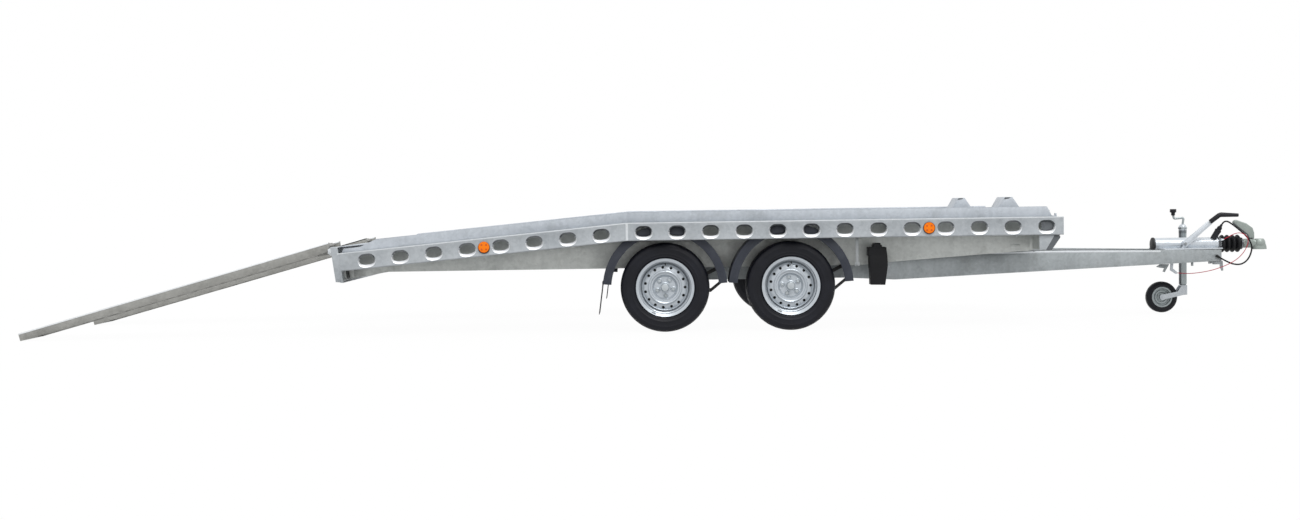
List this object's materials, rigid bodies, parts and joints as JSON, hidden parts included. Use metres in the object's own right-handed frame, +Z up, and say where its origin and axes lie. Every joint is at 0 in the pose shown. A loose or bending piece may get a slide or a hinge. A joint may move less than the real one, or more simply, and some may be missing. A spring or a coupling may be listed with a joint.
{
  "type": "car transporter trailer",
  "caption": "Twin-axle car transporter trailer with a bent galvanised deck, flared side rails, loading ramps, overrun coupling and jockey wheel.",
  "frame": {"origin": "on the ground under the middle of the whole outline, ramps down", "axes": "+X forward to the coupling, +Y to the trailer's left, +Z up"},
  "size_m": [8.7274, 2.168, 0.869],
  "materials": {
    "galvanised": "hot-dip galvanised, satin",
    "frame_steel": "hot-dip galvanised, matt grey",
    "rim_silver": "silver enamel",
    "tyre_rubber": "matt rubber",
    "zinc": "zinc plated",
    "black_plastic": "moulded, satin",
    "black_rubber": "matt",
    "black_steel": "black enamel",
    "amber_lens": "clear moulded lens",
    "red_lens": "clear moulded lens",
    "plate": "blank reflective plate",
    "cable_red": "sheathed steel cable",
    "cable_black": "flexible sheath"
  },
  "bodies": {
    "chassis": {"axle_front": "frame_steel", "axle_rear": "frame_steel", "bellows": "black_rubber", "brake_plates": "black_steel", "brake_rod": "zinc", "breakaway_cable": "cable_red", "chock_holders": "galvanised", "chocks": "black_plastic", "coupling_handle": "zinc", "coupling_head": "zinc", "cross_members": "frame_steel", "deck_beam_left": "frame_steel", "deck_beam_right": "frame_steel", "drawbar_beam_left": "frame_steel", "drawbar_beam_right": "frame_steel", "front_beam": "frame_steel", "guard_stays": "black_steel", "handbrake_grip": "black_plastic", "handbrake_lever": "zinc", "jockey_clamp": "zinc", "kerbs": "galvanised", "lead": "cable_black", "lead_gland": "black_rubber", "mudflaps": "black_rubber", "mudguards_left": "black_plastic", "mudguards_right": "black_plastic", "number_plate": "plate", "outriggers": "frame_steel", "overrun_housing": "zinc", "plug": "black_plastic", "plug_holder": "black_plastic", "ramp_bar": "frame_steel", "rear_lamps": "red_lens", "rear_plate": "galvanised", "runway_left": "galvanised", "runway_right": "galvanised", "side_lamps": "amber_lens", "side_rail_left": "galvanised", "side_rail_right": "galvanised", "wheel_stops": "galvanised"},
    "wheel_front_left": {"tyre_front_left": "tyre_rubber", "rim_front_left": "rim_silver", "hub_front_left": "black_steel"},
    "wheel_rear_left": {"tyre_rear_left": "tyre_rubber", "rim_rear_left": "rim_silver", "hub_rear_left": "black_steel"},
    "loading_ramp_left": {"ramp_left": "frame_steel"},
    "wheel_front_right": {"tyre_front_right": "tyre_rubber", "rim_front_right": "rim_silver", "hub_front_right": "black_steel"},
    "wheel_rear_right": {"tyre_rear_right": "tyre_rubber", "rim_rear_right": "rim_silver", "hub_rear_right": "black_steel"},
    "loading_ramp_right": {"ramp_right": "frame_steel"},
    "jockey_leg": {"jockey_tube": "zinc", "jockey_crank": "zinc"},
    "jockey_screw": {"jockey_screw_tube": "zinc"},
    "jockey_swivel": {"jockey_fork": "zinc"},
    "jockey_wheel": {"jockey_tyre": "black_rubber", "jockey_rim": "zinc"}
  },
  "joints": [
    {"name": "wheel_front_left_spin", "type": "hinge", "parent": "chassis", "child": "wheel_front_left", "pos_m": [0.81969, 0.9225, 0.298], "axis": [0, 1, 0], "continuous": true},
    {"name": "wheel_rear_left_spin", "type": "hinge", "parent": "chassis", "child": "wheel_rear_left", "pos_m": [-0.02031, 0.9225, 0.298], "axis": [0, 1, 0], "continuous": true},
    {"name": "wheel_front_right_spin", "type": "hinge", "parent": "chassis", "child": "wheel_front_right", "pos_m": [0.81969, -0.9225, 0.298], "axis": [0, 1, 0], "continuous": true},
    {"name": "wheel_rear_right_spin", "type": "hinge", "parent": "chassis", "child": "wheel_rear_right", "pos_m": [-0.02031, -0.9225, 0.298], "axis": [0, 1, 0], "continuous": true},
    {"name": "ramp_left_lift", "type": "hinge", "parent": "chassis", "child": "loading_ramp_left", "pos_m": [-2.25031, 0.74, 0.572], "axis": [0, 1, 0], "range_deg": [0, 60]},
    {"name": "ramp_right_lift", "type": "hinge", "parent": "chassis", "child": "loading_ramp_right", "pos_m": [-2.25031, -0.74, 0.572], "axis": [0, 1, 0], "range_deg": [0, 60]},
    {"name": "jockey_clamp_slide", "type": "slide", "parent": "chassis", "child": "jockey_leg", "axis": [0, 0, 1], "range_m": [-0.12, 0.14]},
    {"name": "jockey_screw_slide", "type": "slide", "parent": "jockey_leg", "child": "jockey_screw", "axis": [0, 0, -1], "range_m": [-0.003, 0.2]},
    {"name": "jockey_swivel_turn", "type": "hinge", "parent": "jockey_screw", "child": "jockey_swivel", "pos_m": [3.82069, 0.205, 0.19], "axis": [0, 0, 1], "continuous": true},
    {"name": "jockey_wheel_spin", "type": "hinge", "parent": "jockey_swivel", "child": "jockey_wheel", "pos_m": [3.66069, 0.205, 0.114], "axis": [0, 1, 0], "continuous": true}
  ]
}
